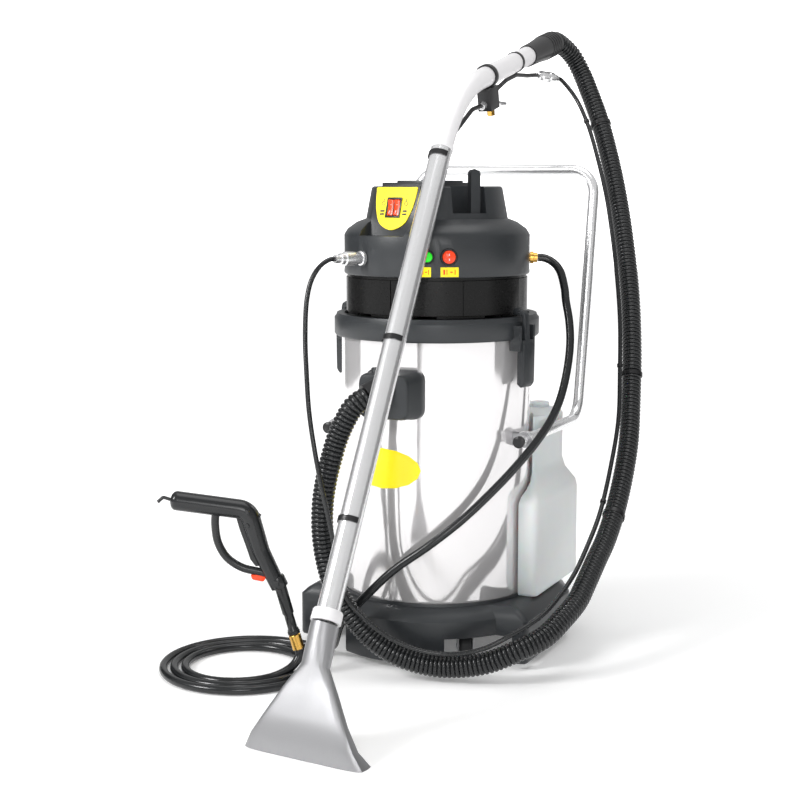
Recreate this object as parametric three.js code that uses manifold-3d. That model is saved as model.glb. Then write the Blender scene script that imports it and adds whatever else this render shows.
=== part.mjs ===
// A spray-extraction carpet cleaner: wet vacuum drum on a wheeled base, turbine head, clean-water tank,
// carpet wand with floor tool, and an upholstery gun on a coiled pressure hose.
// Millimetres, +Z up. The machine is built round the drum's axis, its front towards -Y,
// and the whole is then shifted so that the origin is on the floor under the middle of its box.
import * as THREE from "three";
import { mergeVertices } from "three/addons/utils/BufferGeometryUtils.js";
import Module from "manifold-3d";

const wasm = await Module();
wasm.setup();

// ---- driving dimensions ----
const GAP = 0.4; // running gap between touching pieces
const BASE = { top: 118, edge: 96, bottom: 13, front: 222, side: 245, earFront: -127, sideBack: 122,
  back: 215 };
const DRUM = { r: 188, wall: 1.6, bottom: 118.4, top: 652 };
const COLLAR = { r: 202.5, bottom: 625, top: 667 };
const VENT = { r: 178.5, inner: 171, bottom: 667.4, top: 743.6 };
const HEAD = { turn: -13, r: 182.5, bottom: 744, shoulder: 820, crownFoot: 851, top: 913, crownR: 127,
  wall: 3.5 };
const NOSE = { half: 53, footY: -147, topY: -122, topZ: 914 };
const INLET = { half: 56, low: 481, high: 572, face: -245, port: 537 };
const HANDLE = { x: 205, r: 11, bend: 52, capY: -70, low: 431, backY: 268, barY: 360, top: 947 };
const TANK = { out: 228, front: -35, back: 226, bottom: 119, shoulder: 300, neckOut: 191, neckFront: 48,
  top: 461 };
const CASTER = { r: 27, width: 24, trail: 18, ring: 165, pinR: 4 };
const REAR_WHEEL = { r: 50, width: 28, x: 182, y: 135, axleR: 6 };
const LATCH = { left: 190, right: 0, pivotR: 211, pivotZ: 612, pinR: 3 };
const WAND = { r: 20, wall: 1.5, x: 67.9, y: -682, turn: 0.97, lean: 31.87, upper: 13.63, toolTurn: -6 };
const SUCTION_D = 42;
const THIN_D = 9;
const GUN_HOSE_D = 16;
const COIL = { x: -245, y: -339, inner: 78, outer: 172, height: 17 };
const GUN = { x: -133, y: -333, turn: 24 };
const ROUND = 40;

// ---- finishes ----
const FINISH = {
  charcoal: { color: 0x3a3e41, roughness: 0.45, metalness: 0 },
  black: { color: 0x1c1d1e, roughness: 0.6, metalness: 0 },
  steel: { color: 0xd9dbdd, roughness: 0.18, metalness: 1 },
  brushed: { color: 0xb9bbbd, roughness: 0.35, metalness: 1 },
  white: { color: 0xe8e7e6, roughness: 0.4, metalness: 0 },
  tank: { color: 0xe3e8e8, roughness: 0.5, metalness: 0 },
  brass: { color: 0xe0aa50, roughness: 0.3, metalness: 1 },
  yellow: { color: 0xffeb4b, roughness: 0.4, metalness: 0 },
  red: { color: 0xf03c14, roughness: 0.3, metalness: 0 },
  green: { color: 0x1ef01e, roughness: 0.3, metalness: 0 },
  rubber: { color: 0x232527, roughness: 0.7, metalness: 0 },
};

// ---- helpers ----
const radians = (degrees) => (degrees * Math.PI) / 180;
const at = (x, y, z) => new THREE.Vector3(x, y, z);
const UP = at(0, 0, 1);

// A closed geometry as a manifold-3d solid.
function solid(geometry) {
  const bare = geometry.index ? geometry.toNonIndexed() : geometry.clone();
  for (const name of Object.keys(bare.attributes)) if (name !== "position") bare.deleteAttribute(name);
  const merged = mergeVertices(bare, 1e-4);
  return new wasm.Manifold(
    new wasm.Mesh({
      numProp: 3,
      vertProperties: merged.attributes.position.array,
      triVerts: new Uint32Array(merged.index.array),
    }),
  );
}

function geometryOf(made) {
  const mesh = made.getMesh();
  return new THREE.BufferGeometry()
    .setAttribute("position", new THREE.BufferAttribute(new Float32Array(mesh.vertProperties), 3))
    .setIndex(new THREE.BufferAttribute(new Uint32Array(mesh.triVerts), 1));
}

const join = (first, ...rest) => rest.reduce((made, next) => made.add(solid(next)), solid(first));
const cut = (made, ...tools) => tools.reduce((left, tool) => left.subtract(solid(tool)), made);

// A named piece from a geometry or a solid.
function piece(parent, name, shape, finish) {
  const geometry = shape.isBufferGeometry ? shape : geometryOf(shape);
  geometry.computeVertexNormals();
  const mesh = new THREE.Mesh(geometry, new THREE.MeshStandardMaterial(finish));
  mesh.name = name;
  parent.add(mesh);
  return mesh;
}

function group(parent, x = 0, y = 0, z = 0, turnZ = 0) {
  const made = new THREE.Group();
  made.position.set(x, y, z);
  made.rotation.z = radians(turnZ);
  parent.add(made);
  return made;
}

// A profile of [radius, height] pairs turned round Z. It runs anticlockwise, outwards along its foot.
function turned(profile, segments = ROUND) {
  const points = profile.map(([r, z]) => new THREE.Vector2(r, z));
  return new THREE.LatheGeometry(points, segments).rotateX(Math.PI / 2);
}

// The same for a ring that doesn't reach the axis.
const ring = (profile, segments = ROUND) => turned([...profile, profile[0]], segments);

const sleeve = (inner, outer, low, high, segments = 24) =>
  ring([[inner, low], [outer, low], [outer, high], [inner, high]], segments);

function box(low, high) {
  const size = high.map((value, i) => value - low[i]);
  const middle = high.map((value, i) => (value + low[i]) / 2);
  return new THREE.BoxGeometry(...size).translate(...middle);
}

// Lays a geometry made along +Z from a start point along a direction.
function aim(geometry, start, direction) {
  const turn = new THREE.Quaternion().setFromUnitVectors(UP, direction.clone().normalize());
  return geometry.applyQuaternion(turn).translate(start.x, start.y, start.z);
}

const rod = (from, to, r, sides = 12) =>
  aim(turned([[0, 0], [r, 0], [r, from.distanceTo(to)], [0, from.distanceTo(to)]], sides), from,
    to.clone().sub(from));

// A closed skin over rings of equally many points, its ends closed by fans round their middles.
function skin(rings, middleOf = null) {
  const count = rings[0].length;
  const points = rings.flat();
  const faces = [];
  for (let r = 0; r + 1 < rings.length; r++) {
    for (let i = 0; i < count; i++) {
      const a = r * count + i;
      const b = r * count + ((i + 1) % count);
      faces.push(a, b, b + count, a, b + count, a + count);
    }
  }
  for (const [index, flip] of [[0, true], [rings.length - 1, false]]) {
    const middle = middleOf
      ? at(middleOf[0], middleOf[1], rings[index][0].z)
      : rings[index].reduce((sum, p) => sum.add(p), at(0, 0, 0)).divideScalar(count);
    points.push(middle);
    for (let i = 0; i < count; i++) {
      const a = index * count + i;
      const b = index * count + ((i + 1) % count);
      faces.push(...(flip ? [b, a, points.length - 1] : [a, b, points.length - 1]));
    }
  }
  return new THREE.BufferGeometry().setFromPoints(points).setIndex(faces);
}

// An outline with each corner [x, y, radius] rounded, as 2D points.
function rounded(corners, steps = 4) {
  const points = [];
  corners.forEach(([x, y, radius], i) => {
    const corner = new THREE.Vector2(x, y);
    if (!radius) {
      points.push(corner);
      return;
    }
    const before = corners.at(i - 1);
    const after = corners[(i + 1) % corners.length];
    const from = new THREE.Vector2(before[0], before[1]).sub(corner).setLength(radius).add(corner);
    const to = new THREE.Vector2(after[0], after[1]).sub(corner).setLength(radius).add(corner);
    const bend = new THREE.QuadraticBezierCurve(from, corner, to);
    points.push(...bend.getPoints(steps));
  });
  return points;
}

const level = (outline, z, scale = 1) => outline.map((p) => at(p.x * scale, p.y * scale, z));

// A route through corner points, each corner an arc of the given bend radius.
class BentRoute extends THREE.Curve {
  constructor(corners, bend, stepsPerBend = 5) {
    super();
    this.points = [corners[0]];
    for (let i = 1; i + 1 < corners.length; i++) {
      const back = corners[i - 1].clone().sub(corners[i]).normalize();
      const on = corners[i + 1].clone().sub(corners[i]).normalize();
      const half = back.angleTo(on) / 2;
      const reach = bend / Math.tan(half);
      const centre = back.clone().add(on).setLength(bend / Math.sin(half)).add(corners[i]);
      const first = back.multiplyScalar(reach).add(corners[i]).sub(centre);
      const last = on.multiplyScalar(reach).add(corners[i]).sub(centre);
      const axis = first.clone().cross(last).normalize();
      const sweep = first.angleTo(last);
      for (let k = 0; k <= stepsPerBend; k++) {
        this.points.push(first.clone().applyAxisAngle(axis, (sweep * k) / stepsPerBend).add(centre));
      }
    }
    this.points.push(corners.at(-1));
  }
  get steps() {
    return this.points.length - 1;
  }
  getPoint(t) {
    const place = t * this.steps;
    const i = Math.min(Math.floor(place), this.steps - 1);
    return this.points[i].clone().lerp(this.points[i + 1], place - i);
  }
  getPointAt(u) {
    return this.getPoint(u);
  }
  getTangentAt(u) {
    const i = Math.round(u * this.steps);
    const before = this.points[Math.max(i - 1, 0)];
    const after = this.points[Math.min(i + 1, this.steps)];
    return after.clone().sub(before).normalize();
  }
  getTangent(t) {
    return this.getTangentAt(t);
  }
}

function disc(r, sides, hole = 0) {
  const around = (radius) =>
    Array.from({ length: sides }, (_, i) => {
      const angle = (2 * Math.PI * i) / sides;
      return new THREE.Vector2(radius * Math.cos(angle), radius * Math.sin(angle));
    });
  const shape = new THREE.Shape(around(r));
  if (hole) shape.holes.push(new THREE.Path(around(hole)));
  return shape;
}

const sweep = (route, steps, shape) =>
  new THREE.ExtrudeGeometry(shape, { steps, extrudePath: route, bevelEnabled: false });
const bentTube = (route, r, sides = 12, hole = 0) => sweep(route, route.steps, disc(r, sides, hole));

function hose(points, diameter, steps, sides = 10) {
  const route = new THREE.CatmullRomCurve3(points.map((p) => at(...p)), false, "centripetal");
  return sweep(route, steps, disc(diameter / 2, sides));
}

// ---- base, wheels ----
function baseOutline() {
  const arc = [];
  const reach = Math.asin(Math.sqrt(1 - (BASE.earFront / BASE.front) ** 2));
  for (let i = 0; i <= 12; i++) {
    const angle = -reach + (2 * reach * i) / 12;
    arc.push([BASE.front * Math.sin(angle), -BASE.front * Math.cos(angle), 0]);
  }
  const right = [
    [BASE.side, BASE.earFront, 14],
    [BASE.side, BASE.sideBack, 14],
    [BASE.side - 52, BASE.back, 24],
  ];
  const left = right.map(([x, y, r]) => [-x, y, r]).reverse();
  return rounded([...arc, ...right, ...left]);
}

function chassisBase(machine) {
  const outline = baseOutline();
  const shoulder = 0.885;
  const wall = 0.974;
  const shell = solid(
    skin([level(outline, BASE.bottom, 0.99), level(outline, BASE.bottom + 4), level(outline, BASE.edge),
      level(outline, BASE.edge + 12, 0.95), level(outline, BASE.top, shoulder)], [0, 0]),
  ).subtract(
    solid(skin([level(outline, 0, wall), level(outline, BASE.edge - 2, wall),
      level(outline, BASE.top - 5, shoulder * wall)], [0, 0])),
  );
  const seat = sleeve(DRUM.r + 1, DRUM.r + 5, BASE.top - 1, BASE.top + 6, ROUND);
  let made = shell.add(solid(seat));
  for (const side of [-1, 1]) {
    const diagonal = CASTER.ring * Math.SQRT1_2;
    const boss = sleeve(5 + GAP, 16, 92, BASE.top - 4, 16).translate(side * diagonal, -diagonal, 0);
    const lug = box([side * 155 - 5, REAR_WHEEL.y - 16, 34], [side * 155 + 5, REAR_WHEEL.y + 16,
      BASE.top - 4]);
    made = made.add(solid(boss)).add(solid(lug));
  }
  for (const side of [-1, 1]) {
    const opening = box([-64, -262, 0], [64, -172, 64]).rotateZ(radians(45 * side));
    made = made.subtract(solid(opening));
  }
  const axleHole = rod(at(-180, REAR_WHEEL.y, REAR_WHEEL.r), at(180, REAR_WHEEL.y, REAR_WHEEL.r),
    REAR_WHEEL.axleR + GAP);
  piece(machine, "chassis_base", cut(made, axleHole), FINISH.charcoal);
}

function tyre(r, width, bore) {
  const half = width / 2;
  const profile = [[bore, -half], [r * 0.66, -half], [r * 0.7, -half + 3], [r * 0.84, -half + 3],
    [r * 0.87, -half],
    [r - 3, -half], [r, -half + 3], [r, half - 3], [r - 3, half], [bore, half]];
  return ring(profile, 20).rotateY(Math.PI / 2);
}

function rearWheels(machine) {
  const { x, y, r, width, axleR } = REAR_WHEEL;
  piece(machine, "rear_axle", rod(at(-201, y, r), at(201, y, r), axleR, 12), FINISH.brushed);
  for (const [name, side] of [["left", -1], ["right", 1]]) {
    const wheel = piece(machine, `rear_wheel_${name}`, tyre(r, width, axleR + GAP), FINISH.rubber);
    wheel.position.set(side * x, y, r);
  }
}

function caster(machine, name, side) {
  const diagonal = CASTER.ring * Math.SQRT1_2;
  const swivel = group(machine, side * diagonal, -diagonal, 0, 28 * side);
  const legX = CASTER.width / 2 + 1.5;
  const fork = join(
    turned([[0, 62], [20, 62], [20, 67], [9, 69], [9, 90], [5, 92], [5, 108], [0, 108]], 20),
    box([-legX - 3, 4, CASTER.r - 7], [-legX, 26, 64]),
    box([legX, 4, CASTER.r - 7], [legX + 3, 26, 64]),
    box([-legX - 3, -14, 60], [legX + 3, 26, 65]),
    rod(at(-legX - 4, CASTER.trail, CASTER.r), at(legX + 4, CASTER.trail, CASTER.r), CASTER.pinR),
  );
  piece(swivel, `caster_fork_${name}`, fork, FINISH.brushed);
  const wheel = piece(swivel, `caster_wheel_${name}`, tyre(CASTER.r, CASTER.width, CASTER.pinR + GAP),
    FINISH.rubber);
  wheel.position.set(0, CASTER.trail, CASTER.r);
}

// ---- drum, collar, inlet ----
function drum(machine) {
  const { r, wall, bottom, top } = DRUM;
  const shell = turned([[0, bottom], [r - 5, bottom], [r, bottom + 6], [r, top], [r - wall, top],
    [r - wall, bottom + 7], [r - 6, bottom + 2], [0, bottom + 2]], 48);
  const hole = rod(at(0, -r - 20, INLET.port), at(0, -r + 40, INLET.port), 20);
  piece(machine, "drum_shell", cut(solid(shell), hole), FINISH.steel);
}

function inletHousing(machine) {
  const { half, low, high, face, port } = INLET;
  const outline = rounded([[-half, low, 20], [half, low, 20], [half, high, 20], [-half, high, 20]], 4);
  const middle = (low + high) / 2;
  const slice = (y, scale) => outline.map((p) => at(p.x * scale, y, middle + (p.y - middle) * scale));
  const slices = [slice(-130, 1.02), slice(-199, 1.02), slice(-206, 0.95), slice(face + 8, 0.93),
    slice(face, 0.87)];
  const body = solid(skin(slices));
  const knob = rod(at(-26, -214, high - 6), at(-26, -214, high + 5), 11, 20);
  const hollow = turned([[0, 0], [DRUM.r + GAP, 0], [DRUM.r + GAP, 700], [0, 700]], 48);
  const bore = rod(at(0, face - 5, port), at(0, -150, port), 19);
  piece(machine, "inlet_housing", cut(body.add(solid(knob)), hollow, bore), FINISH.charcoal);
}

// The cuff on the inlet's face, tilted the way the hose hangs.
const CUFF_FROM = at(2, -236, 543);
const CUFF_TO = at(-22, -268, 527);
function inletCuff(machine) {
  const length = CUFF_FROM.distanceTo(CUFF_TO);
  const cuff = aim(turned([[0, -14], [25.5, -14], [25.5, length - 3], [24, length], [0, length]], 28),
    CUFF_FROM,
    CUFF_TO.clone().sub(CUFF_FROM));
  const housing = box([-120, INLET.face - GAP, 400], [120, -100, 640]);
  piece(machine, "inlet_cuff", cut(solid(cuff), housing), FINISH.black);
}

function collarRing(head) {
  const inner = DRUM.r + GAP;
  const { r, bottom, top } = COLLAR;
  const profile = [[inner, bottom], [r - 3, bottom - 1], [r, bottom + 3], [r, top - 9], [r - 4, top - 4],
    [r - 5, top], [183, top], [183, top - 6.2], [inner, top - 6.2]];
  let made = solid(ring(profile, 48));
  const drumRoom = turned([[0, 590], [inner, 590], [inner, top - 6.2], [0, top - 6.2]], 48);
  const ears = join(
    box([r - 4, 19, 604], [LATCH.pivotR + 5, 25, 652]),
    box([r - 4, -25, 604], [LATCH.pivotR + 5, -19, 652]),
    box([DRUM.r + 4, -25, 604], [r, 25, 640]),
  );
  const pin = rod(at(LATCH.pivotR, -24, LATCH.pivotZ), at(LATCH.pivotR, 24, LATCH.pivotZ), LATCH.pinR);
  for (const turn of [LATCH.left, LATCH.right]) {
    made = made.add(ears.rotate([0, 0, turn])).add(solid(pin).rotate([0, 0, turn]));
  }
  piece(head, "collar_ring", cut(made, drumRoom), FINISH.charcoal);
}

// A latch's outline in its own plane: outwards, up. Its hook reaches over the collar's lip.
function latch(head, name) {
  const { pivotR, pivotZ, pinR } = LATCH;
  const pivot = group(group(head, 0, 0, 0, LATCH[name]), pivotR, 0, pivotZ);
  const outline = rounded([[-6, -72, 0], [2, -78, 0], [9, -70, 4], [10, 2, 0], [6, 12, 0], [3, 66, 8],
    [-22, 74, 6],
    [-25, 64, 0], [-21, 58, 0], [-9, 61, 3], [-3, 52, 0], [-3, 12, 0], [-6, 2, 0]], 2);
  const shape = new THREE.Shape(outline.map((p) => new THREE.Vector2(p.x, p.y)));
  const plate = (half) => new THREE.ExtrudeGeometry(shape, { depth: 2 * half, bevelEnabled: false })
    .rotateX(Math.PI / 2).translate(0, half, 0);
  const grip = solid(plate(18)).intersect(solid(box([-60, -18, -90], [60, 18, 12])));
  const strap = solid(plate(7));
  const bore = rod(at(0, -30, 0), at(0, 30, 0), pinR + GAP, 12);
  piece(pivot, `latch_${name}`, cut(grip.add(strap), bore), FINISH.charcoal);
}

// ---- handle, tank ----
function handle(machine) {
  const { x, r, bend, capY, low, backY, barY, top } = HANDLE;
  const corners = [at(x, capY, low), at(x, backY, low), at(x, barY, top),
    at(-x, barY, top), at(-x, backY, low), at(-x, capY, low)];
  piece(machine, "handle_tube", bentTube(new BentRoute(corners, bend), r, 12), FINISH.steel);
  const drumRoom = turned([[0, 400], [DRUM.r + GAP, 400], [DRUM.r + GAP, 460], [0, 460]], 48);
  for (const [name, side] of [["left", -1], ["right", 1]]) {
    const cap = turned([[0, 0], [r + 0.6, 0], [r + 0.6, 7], [r - 3, 9], [0, 9]], 20);
    piece(machine, `handle_cap_${name}`, aim(cap, at(side * x, capY - GAP, low), at(0, -1, 0)),
      FINISH.black);
    const across = [side * 172, side * x].sort((a, b) => a - b);
    const bracket = join(
      box([across[0], -49, low - 12], [across[1], -31, low + 12]),
      aim(turned([[0, -9], [r + 4, -9], [r + 4, 9], [0, 9]], 20), at(side * x, -40, low), at(0, 1, 0)),
    );
    const hole = rod(at(side * x, -60, low), at(side * x, -20, low), r + GAP);
    piece(machine, `handle_bracket_${name}`, cut(bracket, hole, drumRoom), FINISH.brushed);
  }
}

function tankOutline(out, front, back) {
  const near = DRUM.r + 6;
  const start = Math.asin(front / near);
  const end = radians(52);
  const arc = Array.from({ length: 9 }, (_, i) => {
    const angle = end + ((start - end) * i) / 8;
    return [near * Math.cos(angle), near * Math.sin(angle), 0];
  });
  return rounded([[out, front, 16], [out, back, 26], [122, back, 20], ...arc], 4);
}

function solutionTank(machine) {
  const { out, front, back, bottom, shoulder, neckOut, neckFront, top } = TANK;
  const wide = tankOutline(out, front, back);
  const neck = tankOutline(neckOut + 2, neckFront, back + 4);
  const mix = (share, z, scale = 1) =>
    wide.map((p, i) => {
      const q = p.clone().lerp(neck[i], share);
      return at(170 + (q.x - 170) * scale, 100 + (q.y - 100) * scale, z);
    });
  const rings = [mix(0, bottom, 0.96), mix(0, bottom + 8), mix(0, shoulder), mix(0.12, shoulder + 14),
    mix(0.8, shoulder + 38), mix(1, shoulder + 58), mix(1, top - 12), mix(1, top, 0.88)];
  const drumRoom = turned([[0, 100], [DRUM.r + 5.6, 100], [DRUM.r + 5.6, 500], [0, 500]], 48);
  const tubeRoom = rod(at(HANDLE.x, -80, HANDLE.low), at(HANDLE.x, 250, HANDLE.low), HANDLE.r + 1.5);
  const body = cut(solid(skin(rings, [206, 100])), drumRoom, tubeRoom);
  piece(machine, "solution_tank", body, FINISH.tank);
  const cap = piece(machine, "tank_cap", turned([[0, 0], [20, 0], [20, 7], [18, 9], [0, 9]], 24),
    FINISH.black);
  cap.position.set(146, 200, top + GAP);
}

// ---- turbine head ----
// The nose's face leans back from its foot to the crown's top.
const noseY = (z) => NOSE.footY + ((NOSE.topY - NOSE.footY) * (z - HEAD.shoulder)) / (NOSE.topZ -
  HEAD.shoulder);
const NOSE_LEAN = Math.atan2(NOSE.topY - NOSE.footY, NOSE.topZ - HEAD.shoulder);

function wedge(front, halfWidth, low, high) {
  const slice = (z) => [at(-halfWidth, -60, z), at(-halfWidth, front(z), z), at(halfWidth, front(z), z),
    at(halfWidth, -60, z)];
  return skin([slice(low), slice(high)]);
}

function headCover(head) {
  const { r, bottom, shoulder, crownFoot, top, crownR, wall } = HEAD;
  const outer = [[r - 2, bottom], [r, bottom + 3], [r, shoulder], [r - 7, shoulder + 11], [r - 25,
    crownFoot - 7],
    [crownR + 12, crownFoot], [crownR + 1, top - 3], [crownR - 3, top]];
  const body = solid(turned([[0, bottom], ...outer, [0, top]], 48));
  const inner = outer.map(([x, z]) => [x - wall, z === bottom ? z - 1 : z - wall]);
  const pocketAngle = radians(65);
  const spin = (geometry) => geometry.rotateZ(pocketAngle);
  const pocket = spin(box([-36, -200, 862], [36, -88, top + 20]));
  const pocketRoom = spin(box([-40, -200, 858], [40, -84, top + 20]));
  const hollow = solid(turned([[0, bottom - 1], ...inner, [0, top - wall]],
    36)).subtract(solid(pocketRoom));
  const front = wedge((z) => noseY(z) - 60, NOSE.half, shoulder, top + 20);
  const nose = wedge(noseY, NOSE.half, shoulder - 6, top);
  const clearance = cut(solid(front), wedge(noseY, NOSE.half + 1, shoulder - 20, top + 30));
  const whole = body.add(solid(nose));
  const ledge = solid(wedge((z) => noseY(z) - 60, NOSE.half + wall, shoulder - wall - 1, crownFoot + 20));
  const behindFace = wedge((z) => noseY(z) + wall, NOSE.half + 2 * wall, shoulder - 20, top);
  const lining = cut(ledge, behindFace).intersect(whole);
  const lid = join(
    box([-70, -84, top - 2], [34, 60, top + 7]),
    box([-52, -60, top - 2], [26, 50, top + 11]),
  );
  const prong = [
    box([7, -124, 850], [27, -110, 935]),
    aim(turned([[0, 0], [10, 0], [10, 14], [0, 14]], 20), at(17, -110, 935), at(0, -1, 0)),
  ].map(spin);
  let made = whole.subtract(hollow).add(lining).subtract(clearance);
  made = made.add(lid).subtract(solid(pocket));
  made = made.add(join(...prong));
  for (const [angle, z, hole] of [[31.5, 783, 9.4], [44, 783, 12.2], [-13, 778, 9], [127, 774, 8], [200,
    775, 9]]) {
    const tool = rod(at(0, -r - 20, z), at(0, -r + 14, z), hole + GAP, 20).rotateZ(radians(angle));
    made = made.subtract(solid(tool));
  }
  const slot = box([-14, noseY(872) - 8, 856], [14, noseY(872) + 14, 889]);
  piece(head, "head_cover", made.subtract(solid(slot)), FINISH.charcoal);
}

function ventRing(head) {
  const { r, inner, bottom, top } = VENT;
  let made = solid(ring([[inner, bottom], [r - 2, bottom], [r - 2, bottom + 4], [r, bottom + 5], [r,
    top - 6],
    [r - 2, top - 5], [r - 2, top], [inner, top]], 48));
  for (let i = 0; i < 8; i++) {
    const angle = radians(8 + 45 * i);
    const seam = box([-1.2, -r - 2, bottom + 5], [1.2, -r + 2, top - 6]).rotateZ(angle);
    const louvre = box([-22, -r - 2, bottom - 1], [22, -r + 20, bottom + 4]).rotateZ(angle + radians(22));
    made = cut(made, seam, louvre);
  }
  piece(head, "vent_ring", made, FINISH.black);
}

function controls(head) {
  const face = group(head, 0, noseY(872), 872);
  face.rotation.x = -NOSE_LEAN;
  const outline = rounded([[-49, 40, 2], [-46, 4, 18], [-32, -32, 14], [0, -46, 14], [32, -32, 14], [46,
    4, 18], [49, 40, 2]], 3);
  const shield = new THREE.ExtrudeGeometry(new THREE.Shape(outline), { depth: 1.6, bevelEnabled: false })
    .rotateX(Math.PI / 2).translate(0, -GAP, 0);
  piece(face, "control_panel", cut(solid(shield), box([-14, -10, -18], [14, 10, 18])), FINISH.yellow);
  const bars = box([-17.5, -4.2, -19.5], [17.5, -2.2 - GAP, 19.5]);
  const openings = [box([-14.2, -10, -16.4], [-0.8, 10, 16.4]), box([0.8, -10, -16.4], [14.2, 10, 16.4])];
  piece(face, "switch_frame", cut(solid(bars), ...openings), FINISH.black);
  for (const [name, x] of [["vacuum", -7.5], ["pump", 7.5]]) {
    const side = [[-14.8, 1], [-14.8, -3.8], [0, -2.4], [14.8, -6.2], [14.8, 1], [0, 5]];
    const rocker = new THREE.ExtrudeGeometry(new THREE.Shape(side.map(([z, y]) => new THREE.Vector2(-z,
      y))),
      { depth: 12.4, bevelEnabled: false }).rotateY(Math.PI / 2).translate(-6.2, 0, 0);
    piece(face, `rocker_${name}`, rocker, FINISH.red).position.set(x, 0, 0);
  }
}

function roundControls(head) {
  for (const [name, angle, r, finish] of [["green_button", 31.5, 9.4, FINISH.green], ["red_switch", 44,
    12.2, FINISH.red]]) {
    const spot = group(head, 0, 0, 783, angle);
    const knob = turned([[0, -8], [r, -8], [r, 4.6], [r - 2, 6.2], [0, 6.8]], 18);
    piece(spot, name, aim(knob, at(0, 0, 0), at(0, -1, 0)), finish).position.set(0, -HEAD.r, 0);
  }
}

function stub(head, name, angle, z, profile, finish) {
  const spot = group(head, 0, 0, z, angle);
  piece(spot, name, aim(turned(profile, 14), at(0, -HEAD.r, 0), at(0, -1, 0)), finish);
}

function couplings(head) {
  stub(head, "outlet_coupler", -13, 778, [[0, -12], [9, -12], [9, 0.8], [14, 0.8], [14, 7], [11.5, 8],
    [11.5, 22], [13.5, 23],
    [13.5, 44], [11, 46], [11, 54], [8, 55], [8, 67], [0, 67]], FINISH.steel);
  stub(head, "brass_outlet", 127, 774, [[0, -12], [8, -12], [8, 0.8], [12, 0.8], [12, 7], [9.5, 8], [9.5,
    15], [0, 15]], FINISH.brass);
  stub(head, "cable_gland", 200, 775, [[0, -12], [9, -12], [9, 0.8], [15, 0.8], [15, 9], [11, 11], [8,
    26], [0, 26]], FINISH.black);
}

function works(head) {
  const { top } = DRUM;
  const plate = ring([[34, top + 0.4], [DRUM.r - 1, top + 0.4], [DRUM.r - 1, top + 8], [34, top + 8]], 36);
  piece(head, "motor_plate", plate, FINISH.black);
  const housing = turned([[78, top + 8.4], [82, top + 8.4], [82, 700], [66, 712], [66, 800], [0, 800],
    [0, 786],
    [6.5, 786], [6.5, 722], [52, 722], [62, 714], [78, 702], [78, top + 8.4]], 20);
  piece(head, "motor_housing", housing, FINISH.black);
  let fan = solid(turned([[0, 672], [64, 672], [64, 675], [10, 677], [6, 680], [6, 780], [0, 780]], 16));
  for (let i = 0; i < 8; i++) fan = fan.add(solid(box([12, -1.2, 674], [62, 1.2,
    694]).rotateZ(radians(45 * i))));
  piece(head, "impeller", fan, FINISH.brushed);
  const pump = join(box([-30, -22, top + 8.4], [30, 22, 716]), rod(at(30, 0, 690), at(52, 0, 690), 8),
    rod(at(-30, 0, 690), at(-46, 0, 690), 8));
  piece(group(head, 60, 110, 0, -30), "pump_body", pump, FINISH.brushed);
  let cage = solid(sleeve(30, 33.4, 560, top + 12, 18));
  cage = cage.add(solid(turned([[0, 556], [33.4, 556], [33.4, 560.2], [0, 560.2]], 18)));
  for (let i = 0; i < 6; i++) cage = cage.subtract(solid(box([20, -8, 572], [50, 8,
    640]).rotateZ(radians(60 * i))));
  piece(head, "float_cage", cage, FINISH.white);
  const ball = piece(head, "float_ball", new THREE.SphereGeometry(22, 12, 8), FINISH.white);
  ball.position.set(0, 0, 583);
}

// ---- wand ----
// The wand lies in a plane of its own: y along the floor towards the machine, z up, x across.
const LEAN = radians(WAND.lean);
const RISE = radians(WAND.upper);
const ALONG = at(0, Math.sin(LEAN), Math.cos(LEAN)); // up the straight tube
// Square to it, where the pipe runs.
const PIPE_SIDE = at(-0.5, 0.866 * Math.cos(LEAN), -0.866 * Math.sin(LEAN));
const UPPER = at(0, Math.cos(RISE), Math.sin(RISE)); // along the upper leg
const BELOW = at(0, Math.sin(RISE), -Math.cos(RISE)); // square to that, underneath
const TUBE_FOOT = at(0, 84, 196);
const TUBE_LENGTH = 928;
const PIPE_R = 4.5;
const PIPE_BACK = WAND.r + PIPE_R + GAP;
const VALVE_AT = 165;
const onTube = (distance, back = 0) =>
  TUBE_FOOT.clone().addScaledVector(ALONG, distance).addScaledVector(PIPE_SIDE, back);
const BEND_CORNER = onTube(1053.8);
const onUpper = (distance, below = 0) =>
  BEND_CORNER.clone().addScaledVector(UPPER, distance).addScaledVector(BELOW, below);
const BEND_END = onUpper(430.6);
const COUPLER_FROM = onUpper(465, 50);

// A flattened ring round the tool at a height, its plane tilted. The tool spreads more to its right.
function toolSection([y, z, wide, deep, tilt], inset) {
  const x = 0.08 * (196 - z);
  const rise = radians(tilt);
  const squareness = wide > 40 ? 0.35 : 1;
  const along = (value) => Math.sign(value) * Math.abs(value) ** squareness;
  return Array.from({ length: 24 }, (_, i) => {
    const angle = (2 * Math.PI * i) / 24;
    const u = along(Math.cos(angle)) * (wide - inset);
    const v = along(Math.sin(angle)) * (deep - inset);
    return at(x + u, y + v * Math.cos(rise), z - v * Math.sin(rise));
  });
}

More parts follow.
